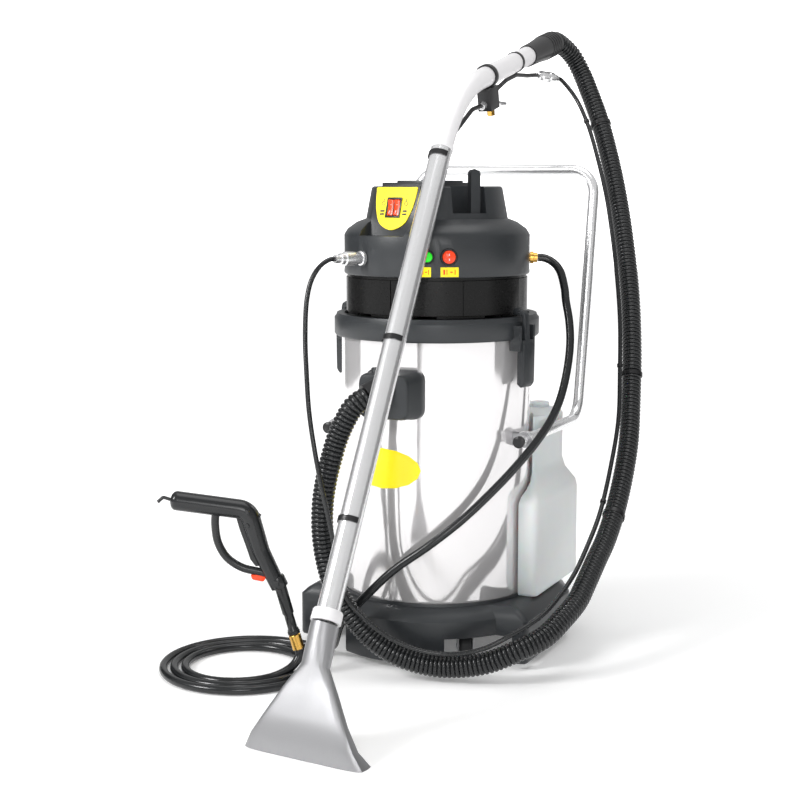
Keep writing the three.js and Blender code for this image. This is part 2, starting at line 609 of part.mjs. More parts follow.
function floorTool(wand) {
  const tool = group(wand, TUBE_FOOT.x, TUBE_FOOT.y, 0, WAND.toolTurn);
  // Sections down the tool: distance forward of the collar, height, half width, half depth, tilt.
  const sections = [[0, 196, 24.5, 24.5, WAND.lean], [-12, 176, 25, 23.5, WAND.lean], [-36, 136, 27, 15,
    WAND.lean],
    [-54, 100, 50, 13, 30], [-73, 60, 76, 13, 26], [-85, 26, 99, 15, 14], [-80, 0.3, 115, 21, 0]];
  const mouth = [[-73, 60, 60, 10, 26], [-85, 26, 92, 12, 14], [-80, -3, 112, 17.5, 0]];
  const loft = (inset, list) => skin(list.map((section) => toolSection(section, inset)).reverse());
  piece(tool, "floor_tool", solid(loft(0, sections)).subtract(solid(loft(2.5, mouth))), FINISH.brushed);
}

function wandTubes(wand) {
  const { r, wall } = WAND;
  const tube = ring([[r - wall, 6], [r, 6], [r, TUBE_LENGTH - GAP], [r - wall, TUBE_LENGTH - GAP]], 20);
  piece(wand, "wand_tube", aim(tube, TUBE_FOOT.clone(), ALONG), FINISH.steel);
  piece(wand, "tool_collar", aim(sleeve(r + GAP, r + 6, 4, 42, 20), TUBE_FOOT.clone(), ALONG),
    FINISH.white);
  const bend = new BentRoute([onTube(TUBE_LENGTH), BEND_CORNER, BEND_END], 300, 8);
  piece(wand, "wand_bend", bentTube(bend, r, 16, r - wall), FINISH.white);
  const cuff = ring([[r + GAP, -24], [r + 3, -24], [r + 4, 30], [26.5, 70], [26.5, 150], [22.4, 150],
    [22.4, 100],
    [r + GAP, 60]], 20);
  piece(wand, "wand_cuff", aim(cuff, BEND_END.clone(), UPPER), FINISH.black);
  for (const [name, distance] of [["low", 182], ["middle", 524], ["high", 908]]) {
    const clip = join(
      aim(turned([[0, -5], [r + 2.5, -5], [r + 2.5, 5], [0, 5]], 16), onTube(distance), ALONG),
      aim(turned([[0, -5], [PIPE_R + 3, -5], [PIPE_R + 3, 5], [0, 5]], 10), onTube(distance, PIPE_BACK),
        ALONG),
    );
    const room = [
      rod(onTube(distance - 20), onTube(distance + 20), r + 1, 16),
      rod(onTube(distance - 20, PIPE_BACK), onTube(distance + 20, PIPE_BACK), PIPE_R + GAP, 10),
    ];
    piece(wand, `wand_clip_${name}`, cut(clip, ...room), FINISH.black);
  }
}

// The spray valve hangs under the upper leg, its squeeze lever pointing back.
function valve(wand) {
  const { r } = WAND;
  const clamp = join(
    aim(turned([[0, -6], [r + 4, -6], [r + 4, 6], [0, 6]], 24), onUpper(VALVE_AT), UPPER),
    box([-14, -24, -66], [14, 24, -21.5]).rotateX(RISE).translate(...onUpper(VALVE_AT).toArray()),
  );
  const bendRoom = new BentRoute([onTube(TUBE_LENGTH), BEND_CORNER, BEND_END], 300, 8);
  const slot = box([-5, 13, -60], [5, 30, -47]).rotateX(RISE).translate(...onUpper(VALVE_AT).toArray());
  piece(wand, "valve_body", cut(clamp, bentTube(bendRoom, r + GAP, 16), slot), FINISH.black);
  const pivot = group(wand, ...onUpper(VALVE_AT + 19, 53.5).toArray());
  const lever = join(box([-4, -3, -2], [4, 18, 2]), box([-6, 14, -1.5], [6, 66, 1.5]), box([-6, 62, -4],
    [6, 68, 1.5]));
  piece(pivot, "valve_lever", lever, FINISH.brushed);
}

function sprayPipes(wand) {
  const pipe = new BentRoute([onTube(-62, 40), onTube(24, 38), onTube(110, PIPE_BACK), onTube(935,
    PIPE_BACK),
    at(-4, 735, 1062), onUpper(VALVE_AT - 26, 52)], 45, 3);
  piece(wand, "spray_pipe", bentTube(pipe, PIPE_R, 8), FINISH.black);
  const link = new BentRoute([onUpper(VALVE_AT + 26, 38), onUpper(272, 27), onUpper(335, 27),
    onUpper(400, 40),
    COUPLER_FROM], 60, 2);
  piece(wand, "valve_link_tube", bentTube(link, PIPE_R, 8), FINISH.black);
  const coupler = turned([[0, 1.2], [7, 1.2], [7, 14], [11, 17], [11, 42], [9, 44], [9, 50], [12, 53],
    [12, 72],
    [8, 76], [8, 95], [0, 95]], 14);
  piece(wand, "wand_coupler", aim(coupler, COUPLER_FROM, at(0.12, 0.992, -0.02)), FINISH.steel);
}

// ---- upholstery gun ----
// Built in its own upright plane: [across, up], its nut's foot at across 0.
function gun(machine) {
  const frame = group(machine, GUN.x, GUN.y, 0, GUN.turn);
  const flat = (points, depth) =>
    new THREE.ExtrudeGeometry(new THREE.Shape(points), { depth, bevelEnabled: false })
      .rotateX(Math.PI / 2).translate(0, depth / 2, 0);
  const nutFoot = at(0, 0, 54);
  const up = at(-0.266, 0, 0.964);
  const onStem = (distance) => nutFoot.clone().addScaledVector(up, distance);
  piece(frame, "gun_nut", aim(turned([[0, 0], [11.5, 0], [11.5, 27], [9, 30], [0, 30]], 12), nutFoot,
    up), FINISH.brass);

  const stem = turned([[0, 0], [10.5, 0], [10.5, 9], [8.5, 11], [8.5, 38], [11, 41], [11, 106], [0,
    106]], 14);
  const grip = new BentRoute([at(-40, 0, 178), at(-69, 0, 238), at(-90, 0, 318), at(-234, 0, 337)], 24, 3);
  const tip = new BentRoute([at(-228, 0, 336), at(-249, 0, 342), at(-259, 0, 333)], 5, 3);
  const collar = aim(turned([[0, -9], [15, -9], [15, 9], [0, 9]], 14), at(-37, 0, 184), at(-0.42, 0,
    0.907));
  const web = rounded([[-28, 186, 0], [-54, 243, 0], [-74, 296, 0], [-80, 322, 0], [-156, 326, 0], [-156,
    310, 0],
    [-124, 300, 12], [-104, 276, 12], [-93, 240, 0], [-84, 200, 0], [-60, 186, 0]], 3).reverse();
  const guard = rounded([[-159, 322, 0], [-157, 246, 38], [-106, 202, 20], [-50, 186, 0], [-54, 202, 0],
    [-102, 215, 18], [-140, 254, 28], [-143, 322, 0]], 5);
  const triggerRoom = flat([[-119, 310], [-84, 311], [-72, 262], [-58, 226], [-54, 206], [-100, 206],
    [-104, 240],
    [-112, 270]].map(([x, y]) => new THREE.Vector2(x, y)), 10.8);
  const lockRoom = flat([[-92, 201], [-58, 201], [-52, 180], [-92, 172]].map(([x,
    y]) => new THREE.Vector2(x, y)), 10.8);
  const body = join(aim(stem, onStem(30 + GAP), up), bentTube(grip, 17.5, 12), bentTube(tip, 3.2, 6),
    collar,
    flat(web, 22), flat(guard, 15));
  piece(frame, "gun_body", cut(body, triggerRoom, lockRoom), FINISH.black);

  const lever = rounded([[-16, 4, 0], [8, 4, 0], [16, -44, 0], [25, -78, 0], [28, -90, 3], [20, -92, 3],
    [10, -78, 0],
    [1, -50, 10], [-9, -22, 8]], 3).reverse();
  piece(group(frame, -98, 0, 304), "gun_trigger", flat(lever, 9.4), FINISH.black);
  const lock = rounded([[-20, 6, 2], [-17, -3, 3], [4, -7, 3], [9, 0, 3], [3, 7, 2]], 2).reverse();
  piece(group(frame, -68, 0, 190), "gun_lock", flat(lock, 9.4), FINISH.red);
}

// ---- hoses ----
// Points along each hose's middle, picked by hand.
const SUCTION_ROUTE = [
  [-22.6, -268.8, 526.6], [-29, -277.4, 522.2], [-40, -287.5, 510], [-52, -294.5, 487], [-65, -300, 455],
    [-74, -306, 420],
  [-84, -310, 376], [-90, -312, 335], [-92, -312, 296], [-91, -310, 258], [-86, -307, 220],
  [-78, -303, 186], [-64, -299, 154], [-46, -294, 125], [-20, -286, 92], [10, -278, 65], [42, -268, 46],
  [82, -256, 33], [130, -242, 28], [200, -223, 39], [258, -197, 65], [292, -157, 83], [310, -108, 107],
  [320, -55, 129], [322, -10, 154], [324, 46, 187], [326, 101, 219], [325, 178, 282], [319, 262, 382],
  [306, 317, 468], [291, 367, 568], [269, 418, 681], [239, 466, 797], [213, 500, 883], [182, 534, 970],
  [145, 566, 1060], [116, 584, 1119], [89, 596, 1171], [69, 586, 1208], [47.1, 547.7, 1233.9],
  [47.5, 523.3, 1227.9],
];
const SOLUTION_ROUTE = [
  [-109.9, -225.1, 778], [-113.6, -232.7, 778], [-124, -254, 766], [-134, -268, 742], [-138, -280, 706],
  [-134, -295, 641], [-122, -313, 575], [-108, -330, 505], [-90, -343, 436], [-74, -345, 365],
  [-60, -338, 290], [-52, -327, 215], [-38, -318, 158], [0, -309, 116], [58, -288, 76], [124, -262, 58],
  [196, -240, 69], [247, -210, 96], [282, -157, 120], [298, -103, 145], [309, -43, 178], [313, 25, 221],
  [314, 96, 272], [311, 171, 354], [305, 234, 437], [289, 290, 534], [272, 338, 634], [246, 386, 746],
  [222, 422, 830], [201, 450, 894], [171, 482, 970], [138, 512, 1043], [109, 530, 1094],
  [88, 534, 1123], [61.4, 539.3, 1149.6], [59.1, 517.4, 1150],
];
const GUN_ROUTE = [
  [181.4, 80.8, 774], [189.5, 84.4, 774], [205, 89, 768], [224, 86, 752], [240, 74, 716],
  [247, 62, 694], [260, 47, 654], [267, 34, 613], [269, 12, 561], [264, -12, 508], [253, -34, 469],
  [234, -60, 430], [213, -84, 397], [183, -114, 356], [130, -162, 294], [74, -198, 243],
  [10, -222, 193], [-38, -240, 143], [-62, -250, 116], [-83, -250, 92], [-98, -240, 68],
  [-112, -222, 45], [-128, -203, 24], [-150, -189, 11], [-178, -180, 8.3], [-210, -177, 8.3],
];
const GUN_TAIL = [
  [-132.6, -332.8, 52.2], [-131.4, -332.4, 46], [-133, -338, 33], [-140, -349, 21], [-151, -365, 13],
    [-163, -380, 9],
];
function hoses(machine) {
  piece(machine, "suction_hose", hose(SUCTION_ROUTE, SUCTION_D, 40), FINISH.rubber);
  piece(machine, "solution_hose", hose(SOLUTION_ROUTE, THIN_D, 60, 8), FINISH.rubber);
  const { x, y, inner, outer, height } = COIL;
  const soft = 4;
  const coil = (grow) => ring([[inner - grow + soft, 0.2 - grow], [outer + grow - soft, 0.2 - grow],
    [outer + grow, soft], [outer + grow, height - soft],
    [outer + grow - soft, height + grow], [inner - grow + soft, height + grow], [inner - grow,
      height - soft], [inner - grow, soft]], 32).translate(x, y, 0);
  piece(machine, "gun_hose_coil", coil(0), FINISH.rubber);
  piece(machine, "gun_hose", cut(solid(hose(GUN_ROUTE, GUN_HOSE_D, 46, 8)), coil(GAP)), FINISH.rubber);
  piece(machine, "gun_hose_tail", cut(solid(hose(GUN_TAIL, GUN_HOSE_D, 6, 8)), coil(GAP)), FINISH.rubber);
}
const CORD_NODES = ["suction_hose", "solution_hose", "gun_hose", "gun_hose_coil", "gun_hose_tail"];

// ---- assembly ----
const cleaner = new THREE.Group();
const machine = group(cleaner);
chassisBase(machine);
rearWheels(machine);
caster(machine, "left", -1);
caster(machine, "right", 1);
drum(machine);
inletHousing(machine);
inletCuff(machine);
handle(machine);
solutionTank(machine);

const head = group(machine, 0, 0, 0, HEAD.turn);
collarRing(head);
latch(head, "left");
latch(head, "right");
ventRing(head);
headCover(head);
controls(head);
roundControls(head);
couplings(head);
works(head);

const wand = group(machine, WAND.x, WAND.y, 0, WAND.turn);
floorTool(wand);
wandTubes(wand);
valve(wand);
sprayPipes(wand);
gun(machine);
hoses(machine);

// The origin: on the floor under the middle of everything but the hoses.
cleaner.updateMatrixWorld(true);
const extent = new THREE.Box3();
machine.traverse((object) => {
  if (object.isMesh && !CORD_NODES.includes(object.name)) extent.expandByObject(object, true);
});
machine.position.set(-(extent.min.x + extent.max.x) / 2, -(extent.min.y + extent.max.y) / 2, -extent.min.z);

export default cleaner;
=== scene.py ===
import math

import bmesh
import bpy
from mathutils import Matrix, Vector


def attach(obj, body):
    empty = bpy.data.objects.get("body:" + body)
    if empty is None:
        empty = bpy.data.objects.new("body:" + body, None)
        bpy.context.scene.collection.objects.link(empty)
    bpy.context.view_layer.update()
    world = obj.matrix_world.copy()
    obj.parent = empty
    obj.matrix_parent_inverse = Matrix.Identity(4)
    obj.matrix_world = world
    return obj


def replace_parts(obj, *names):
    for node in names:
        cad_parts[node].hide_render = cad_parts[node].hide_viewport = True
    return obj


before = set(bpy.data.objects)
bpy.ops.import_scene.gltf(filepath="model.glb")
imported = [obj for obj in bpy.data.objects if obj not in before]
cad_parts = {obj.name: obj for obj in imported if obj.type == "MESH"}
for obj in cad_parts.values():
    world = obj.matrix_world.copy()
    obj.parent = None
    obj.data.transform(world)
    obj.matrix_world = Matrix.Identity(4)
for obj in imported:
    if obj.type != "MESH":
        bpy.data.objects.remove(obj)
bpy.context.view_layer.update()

SHIFT = Vector((0.063476, 0.08908, 0.0))
MM = 0.001

# ---- driving dimensions, in millimetres ----
DRUM = {"r": 188, "bottom": 118.4, "top": 652}
HEAD = {"turn": -13, "r": 182.5, "shoulder": 820}
NOSE = {"foot_y": -147, "top_y": -122, "top_z": 914, "panel_z": 872}
HANDLE = {"x": 205, "r": 11, "bend": 52, "cap_y": -70, "low": 431, "back_y": 268, "bar_y": 360, "top": 947}
WAND = {"r": 20, "wall": 1.5, "x": 67.9, "y": -682, "turn": 0.97, "lean": 31.87, "upper": 13.63}
WAND_TUBE_LENGTH = 928
PIPE_R = 4.5
SUCTION = {"d": 42, "groove": 35.6, "pitch": 8.4}
THIN_D = 9
GUN_HOSE_D = 16
GUN = {"x": -133, "y": -333, "turn": 24}
COIL = {"x": -245, "y": -339, "end_x": -254, "end_y": -343, "r": 163, "end_r": 98, "start": 98, "end": 1058}


# ---- places and frames ----
def place(x, y, z):
    return Vector((x, y, z)) * MM + SHIFT


def turned_about(x, y, degrees):
    """A frame in millimetres at a point on the floor, turned about the vertical, in the row frame."""
    turn = Matrix.Rotation(math.radians(degrees), 4, "Z")
    return Matrix.Translation(place(x, y, 0)) @ turn @ Matrix.Scale(MM, 4)


MACHINE = turned_about(0, 0, 0)
HEAD_FRAME = turned_about(0, 0, HEAD["turn"])
WAND_FRAME = turned_about(WAND["x"], WAND["y"], WAND["turn"])
GUN_FRAME = turned_about(GUN["x"], GUN["y"], GUN["turn"])


def on_head(angle, z, radius=HEAD["r"]):
    """A frame on the head's side: its Z points outwards, its Y up."""
    spin = Matrix.Rotation(math.radians(angle), 4, "Z")
    return HEAD_FRAME @ spin @ Matrix.Translation((0, -radius, z)) @ Matrix.Rotation(math.radians(90), 4, "X")


def panel_frame():
    """The nose's leaning face: x across, z up it, -y outwards."""
    rise = (NOSE["panel_z"] - HEAD["shoulder"]) / (NOSE["top_z"] - HEAD["shoulder"])
    y = NOSE["foot_y"] + (NOSE["top_y"] - NOSE["foot_y"]) * rise
    lean = math.atan2(NOSE["top_y"] - NOSE["foot_y"], NOSE["top_z"] - HEAD["shoulder"])
    return HEAD_FRAME @ Matrix.Translation((0, y, NOSE["panel_z"])) @ Matrix.Rotation(-lean, 4, "X")


# ---- materials ----
def material(name, colour, roughness, metal=0.0, grain=0.0, scale=(300, 300, 300), spread=0.0, **sockets):
    made = bpy.data.materials.new(name)
    made.use_nodes = True
    nodes, links = made.node_tree.nodes, made.node_tree.links
    shader = nodes["Principled BSDF"]
    shader.inputs["Base Color"].default_value = (*colour, 1)
    shader.inputs["Roughness"].default_value = roughness
    shader.inputs["Metallic"].default_value = metal
    for socket, value in sockets.items():
        shader.inputs[socket.replace("_", " ")].default_value = value
    where = nodes.new("ShaderNodeTexCoord")
    stretch = nodes.new("ShaderNodeMapping")
    stretch.inputs["Scale"].default_value = scale
    noise = nodes.new("ShaderNodeTexNoise")
    noise.inputs["Scale"].default_value = 1.0
    noise.inputs["Detail"].default_value = 3.0
    links.new(where.outputs["Object"], stretch.inputs["Vector"])
    links.new(stretch.outputs["Vector"], noise.inputs["Vector"])
    if spread:
        levels = nodes.new("ShaderNodeMapRange")
        levels.inputs["From Min"].default_value = 0.3
        levels.inputs["From Max"].default_value = 0.7
        levels.inputs["To Min"].default_value = roughness - spread
        levels.inputs["To Max"].default_value = roughness + spread
        links.new(noise.outputs["Fac"], levels.inputs["Value"])
        links.new(levels.outputs["Result"], shader.inputs["Roughness"])
    if grain:
        bump = nodes.new("ShaderNodeBump")
        bump.inputs["Distance"].default_value = grain
        links.new(noise.outputs["Fac"], bump.inputs["Height"])
        links.new(bump.outputs["Normal"], shader.inputs["Normal"])
    return made


CHARCOAL = material("charcoal_plastic", (0.024, 0.027, 0.030), 0.38, grain=0.00008, scale=(700,) * 3,
                    spread=0.04)
BLACK = material("black_plastic", (0.008, 0.008, 0.009), 0.36, grain=0.00006, scale=(600,) * 3, spread=0.05)
VENT_BLACK = material("vent_black", (0.006, 0.006, 0.006), 0.30, spread=0.04, Specular_IOR_Level=0.25)
GLOSS_BLACK = material("glossy_black", (0.010, 0.011, 0.012), 0.24, spread=0.03)
MIRROR = material("polished_drum", (0.86, 0.845, 0.85), 0.09, metal=0.62, spread=0.02, scale=(60, 60, 9))
STEEL = material("polished_steel", (0.88, 0.88, 0.89), 0.24, metal=0.8, spread=0.03, scale=(500, 500, 20))
BRUSHED = material("brushed_steel", (0.37, 0.37, 0.38), 0.42, metal=0.9, grain=0.00004,
                   scale=(1500, 1500, 18), spread=0.08)
WHITE = material("white_plastic", (0.80, 0.79, 0.80), 0.32, spread=0.04)
TANK = material("tank_plastic", (0.80, 0.83, 0.83), 0.38, spread=0.05, scale=(40,) * 3,
                Subsurface_Weight=0.25, Transmission_Weight=0.12)
BRASS = material("brass", (0.72, 0.42, 0.10), 0.24, metal=1.0, spread=0.05)
# painted glow: a faint emission brightens the yellow sticker, labels and control panel, which are no lamps
YELLOW = material("yellow_panel", (1.0, 0.82, 0.01), 0.30, spread=0.03, Emission_Color=(1, 0.8, 0.01, 1),
                  Emission_Strength=0.12)
# painted glow: a faint emission brightens the red rockers, switch, gun lock and label marks, which are no
# lamps
RED = material("red_plastic", (0.90, 0.06, 0.010), 0.22, spread=0.03, Emission_Color=(0.9, 0.05, 0.01, 1),
               Emission_Strength=0.12)
# painted glow: a faint emission brightens the green button's plastic
GREEN = material("green_plastic", (0.02, 0.80, 0.02), 0.20, spread=0.03, Emission_Color=(0.02, 0.9, 0.02, 1),
                 Emission_Strength=0.18)
TYRE = material("tyre_rubber", (0.020, 0.021, 0.022), 0.62, grain=0.0001, scale=(500,) * 3, spread=0.06)
HOSE = material("hose_rubber", (0.010, 0.011, 0.012), 0.26, spread=0.06, scale=(200,) * 3)
FLOOR = material("floor_white", (0.93, 0.93, 0.93), 0.80, spread=0.05, scale=(3,) * 3,
                 Emission_Color=(1, 1, 1, 1))
BACKDROP = material("backdrop_white", (0.9, 0.9, 0.9), 1.0, Emission_Color=(1, 1, 1, 1),
                    Emission_Strength=1.2)


# ---- making pieces ----
def piece(name, points, faces, finish, body="machine", into=None, smooth=True, sharp=40):
    """A mesh from points in a frame's millimetres, riding on a body."""
    mesh = bpy.data.meshes.new(name)
    mesh.from_pydata([(into or MACHINE) @ Vector(p) for p in points], [], faces)
    work = bmesh.new()
    work.from_mesh(mesh)
    bmesh.ops.recalc_face_normals(work, faces=work.faces)
    limit = math.radians(sharp)
    for face in work.faces:
        face.smooth = smooth
    for edge in work.edges:
        if len(edge.link_faces) == 2 and edge.calc_face_angle(0) > limit:
            edge.smooth = False
    work.to_mesh(mesh)
    work.free()
    made = bpy.data.objects.new(name, mesh)
    bpy.context.scene.collection.objects.link(made)
    mesh.materials.append(finish)
    if body:
        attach(made, body)
    return made


def lathe(name, profile, into, finish, body="machine", segments=64, **options):
    """[radius, height] pairs turned about the frame's Z, closed round."""
    points, faces = [], []
    for r, z in profile:
        for i in range(segments):
            angle = 2 * math.pi * i / segments
            points.append((r * math.cos(angle), r * math.sin(angle), z))
    for k in range(len(profile)):
        below, above = k * segments, ((k + 1) % len(profile)) * segments
        for i in range(segments):
            j = (i + 1) % segments
            faces.append((below + i, below + j, above + j, above + i))
    return piece(name, points, faces, finish, body, into, **options)


def arc_band(name, inner, outer, half, start, end, into, steps=32):
    """Part of a ring about the frame's Z, between two angles."""
    points, faces = [], []
    for i in range(steps + 1):
        angle = math.radians(start + (end - start) * i / steps)
        for r, z in ((inner, -half), (outer, -half), (outer, half), (inner, half)):
            points.append((r * math.cos(angle), r * math.sin(angle), z))
    for i in range(steps):
        for k in range(4):
            j = (k + 1) % 4
            faces.append((4 * i + k, 4 * i + j, 4 * i + 4 + j, 4 * i + 4 + k))
    faces += [(3, 2, 1, 0), (4 * steps, 4 * steps + 1, 4 * steps + 2, 4 * steps + 3)]
    return piece(name, points, faces, BLACK, "machine", into)


def aimed(start, direction, frame_matrix=None):
    """A frame at a start point in another frame's millimetres, its Z along a direction."""
    turn = Vector(direction).to_track_quat("Z", "Y").to_matrix().to_4x4()
    return (frame_matrix or MACHINE) @ Matrix.Translation(start) @ turn


def rod(name, start, end, r, finish, into=None, body="machine", segments=24, bevel=0.6):
    start, end = Vector(start), Vector(end)
    long = (end - start).length
    profile = [(0.01, 0), (r - bevel, 0), (r, bevel), (r, long - bevel), (r - bevel, long), (0.01, long)]
    return lathe(name, profile, aimed(start, end - start, into), finish, body, segments)


def slab(name, outline, into, low, high, finish, body="machine", **options):
    """An outline of (x, z) pairs in a frame, thickened from low to high along its -Y."""
    count = len(outline)
    points = [(x, -low, z) for x, z in outline] + [(x, -high, z) for x, z in outline]
    faces = [tuple(range(count)), tuple(range(2 * count - 1, count - 1, -1))]
    faces += [(i, (i + 1) % count, count + (i + 1) % count, count + i) for i in range(count)]
    return piece(name, points, faces, finish, body, into, **options)


def block(x0, x1, z0, z1):
    return [(x0, z0), (x1, z0), (x1, z1), (x0, z1)]


def wrapped(name, radius, thick, into, centre, half_wide, half_high, z, finish, oval=False, body="machine"):
    """A thin label wrapped round an upright cylinder: rectangular, or oval."""
    across, rings = 24, 8
    points, faces = [], []
    for depth in (0, thick):
        for j in range(rings + 1):
            v = -1 + 2 * j / rings
            if oval:
                v = math.sin(v * math.pi / 2)
            reach = math.sqrt(max(1 - v * v, 0.0004)) if oval else 1
            for i in range(across + 1):
                u = (-1 + 2 * i / across) * reach * half_wide
                angle = math.radians(centre) + u / radius
                r = radius + depth
                points.append((r * math.sin(angle), -r * math.cos(angle), z + v * half_high))
    row = across + 1
    layer = row * (rings + 1)
    for j in range(rings):
        for i in range(across):
            a = j * row + i
            faces.append((a, a + 1, a + row + 1, a + row))
            faces.append((layer + a, layer + a + row, layer + a + row + 1, layer + a + 1))
    rim = [i for i in range(row)] + [j * row + across for j in range(1, rings + 1)]
    rim += [rings * row + i for i in range(across - 1, -1, -1)] + [j * row for j in range(rings - 1, 0, -1)]
    faces += [(a, b, layer + b, layer + a) for a, b in zip(rim, rim[1:] + rim[:1])]
    return piece(name, points, faces, finish, body, into)


# ---- routes ----
def flowing(points, step):
    """A centripetal curve through points, then points along it at even steps, in the same unit."""
    points = [Vector(p) for p in points]
    ends = [2 * points[0] - points[1]] + points + [2 * points[-1] - points[-2]]
    fine = []
    for p0, p1, p2, p3 in zip(ends, ends[1:], ends[2:], ends[3:]):
        t1 = (p1 - p0).length ** 0.5
        t2 = t1 + (p2 - p1).length ** 0.5
        t3 = t2 + (p3 - p2).length ** 0.5
        for k in range(16):
            t = t1 + (t2 - t1) * k / 16
            a1 = p0.lerp(p1, t / t1)
            a2 = p1.lerp(p2, (t - t1) / (t2 - t1))
            a3 = p2.lerp(p3, (t - t2) / (t3 - t2))
            b1 = a1.lerp(a2, t / t2)
            b2 = a2.lerp(a3, (t - t1) / (t3 - t1))
            fine.append(b1.lerp(b2, (t - t1) / (t2 - t1)))
    fine.append(points[-1])
    return even(fine, step)


def even(fine, step):
    lengths = [0.0]
    for a, b in zip(fine, fine[1:]):
        lengths.append(lengths[-1] + (b - a).length)
    count = max(2, round(lengths[-1] / step))
    made, i = [], 0
    for k in range(count + 1):
        want = lengths[-1] * k / count
        while i < len(fine) - 2 and lengths[i + 1] < want:
            i += 1
        span = lengths[i + 1] - lengths[i]
        made.append(fine[i].lerp(fine[i + 1], (want - lengths[i]) / span if span else 0))
    return made


def bent(corners, radius, steps=14):
    """A route through corner points, each corner an arc of the given radius."""
    corners = [Vector(c) for c in corners]
    made = [corners[0]]
    for before, corner, after in zip(corners, corners[1:], corners[2:]):
        back, on = (before - corner).normalized(), (after - corner).normalized()
        half = back.angle(on) / 2
        centre = corner + (back + on).normalized() * radius / math.sin(half)
        first = corner + back * radius / math.tan(half) - centre
        last = corner + on * radius / math.tan(half) - centre
        axis, sweep = first.cross(last).normalized(), first.angle(last)
        made += [centre + Matrix.Rotation(sweep * k / steps, 3, axis) @ first for k in range(steps + 1)]
    return made + [corners[-1]]


def tube(name, path, radii, finish, into=None, body="machine", sides=24, **options):
    """A closed round tube along a path, with a radius for each of its points or one for all."""
    if not isinstance(radii, list):
        radii = [radii] * len(path)
    points, faces = [], []
    heading = (path[1] - path[0]).normalized()
    across = heading.orthogonal().normalized()
    for i, (centre, r) in enumerate(zip(path, radii)):
        on = (path[min(i + 1, len(path) - 1)] - path[max(i - 1, 0)]).normalized()
        across = (heading.rotation_difference(on) @ across).normalized()
        across = (across - on * across.dot(on)).normalized()
        heading = on
        side = on.cross(across)
        for k in range(sides):
            angle = 2 * math.pi * k / sides
            points.append(centre + r * (math.cos(angle) * across + math.sin(angle) * side))
    for i in range(len(path) - 1):
        for k in range(sides):
            j = (k + 1) % sides
            faces.append((i * sides + k, i * sides + j, (i + 1) * sides + j, (i + 1) * sides + k))
    last = (len(path) - 1) * sides
    faces += [tuple(range(sides - 1, -1, -1)), tuple(range(last, last + sides))]
    return piece(name, points, faces, finish, body, into, **options)


# ---- hoses: points along each hose's middle, listed one by one ----
SUCTION_ROUTE = [
    (-22.6, -268.8, 526.6), (-29, -277.4, 522.2), (-40, -287.5, 510), (-52, -294.5, 487), (-65, -300, 455),
    (-74, -306, 420), (-84, -310, 376), (-90, -312, 335), (-92, -312, 296), (-91, -310, 258),
    (-86, -307, 220), (-78, -303, 186), (-64, -299, 154), (-46, -294, 125), (-20, -286, 92),
    (10, -278, 65), (42, -268, 46),
    (82, -256, 33), (130, -242, 28), (200, -223, 39), (258, -197, 65), (292, -157, 83), (310, -108, 107),
    (320, -55, 129), (322, -10, 154), (324, 46, 187), (326, 101, 219), (325, 178, 282), (319, 262, 382),
    (306, 317, 468), (291, 367, 568), (269, 418, 681), (239, 466, 797), (213, 500, 883), (182, 534, 970),
    (145, 566, 1060), (116, 584, 1119), (89, 596, 1171), (69, 586, 1208), (47.1, 547.7, 1233.9),
    (47.5, 523.3, 1227.9),
]
SOLUTION_ROUTE = [
    (-109.9, -225.1, 778), (-113.6, -232.7, 778), (-124, -254, 766), (-134, -268, 742), (-138, -280, 706),
    (-134, -295, 641), (-122, -313, 575), (-108, -330, 505), (-90, -343, 436), (-74, -345, 365),
    (-60, -338, 290), (-52, -327, 215), (-38, -318, 158), (0, -309, 116), (58, -288, 76), (124, -262, 58),
    (196, -240, 69), (247, -210, 96), (282, -157, 120), (298, -103, 145), (309, -43, 178), (313, 25, 221),
    (314, 96, 272), (311, 171, 354), (305, 234, 437), (289, 290, 534), (272, 338, 634), (246, 386, 746),
    (222, 422, 830), (201, 450, 894), (171, 482, 970), (138, 512, 1043), (109, 530, 1094),
    (88, 534, 1123), (61.4, 539.3, 1149.6), (59.1, 517.4, 1150),
]
GUN_ROUTE = [
    (181.4, 80.8, 774), (189.5, 84.4, 774), (205, 89, 768), (224, 86, 752), (240, 74, 716),
    (247, 62, 694), (260, 47, 654), (267, 34, 613), (269, 12, 561), (264, -12, 508), (253, -34, 469),
    (234, -60, 430), (213, -84, 397), (183, -114, 356), (130, -162, 294), (74, -198, 243),
    (10, -222, 193), (-38, -240, 143), (-62, -250, 116), (-83, -250, 92), (-98, -240, 68),
    (-112, -222, 45), (-128, -203, 24), (-150, -189, 11), (-178, -180, 8.3), (-210, -177, 8.3),
]
GUN_TAIL = [
    (-151, -365, 13), (-140, -349, 21), (-133, -338, 33), (-131.4, -332.4, 46), (-132.6, -332.8, 52.2),
]


def coil_route():
    """The gun hose's turns on the floor, winding inwards."""
    turns = (COIL["end"] - COIL["start"]) / 360
    count = round(turns * 18)
    made = []
    for i in range(count + 1):
        share = i / count
        angle = math.radians(COIL["start"] + share * turns * 360)
        x = COIL["x"] + share * (COIL["end_x"] - COIL["x"])
        y = COIL["y"] + share * (COIL["end_y"] - COIL["y"])
        r = COIL["r"] + share * (COIL["end_r"] - COIL["r"])
        made.append((x + r * math.cos(angle), y + r * math.sin(angle), GUN_HOSE_D / 2 + 0.3))
    return made


def in_place(route):
    return [place(*p) for p in route]


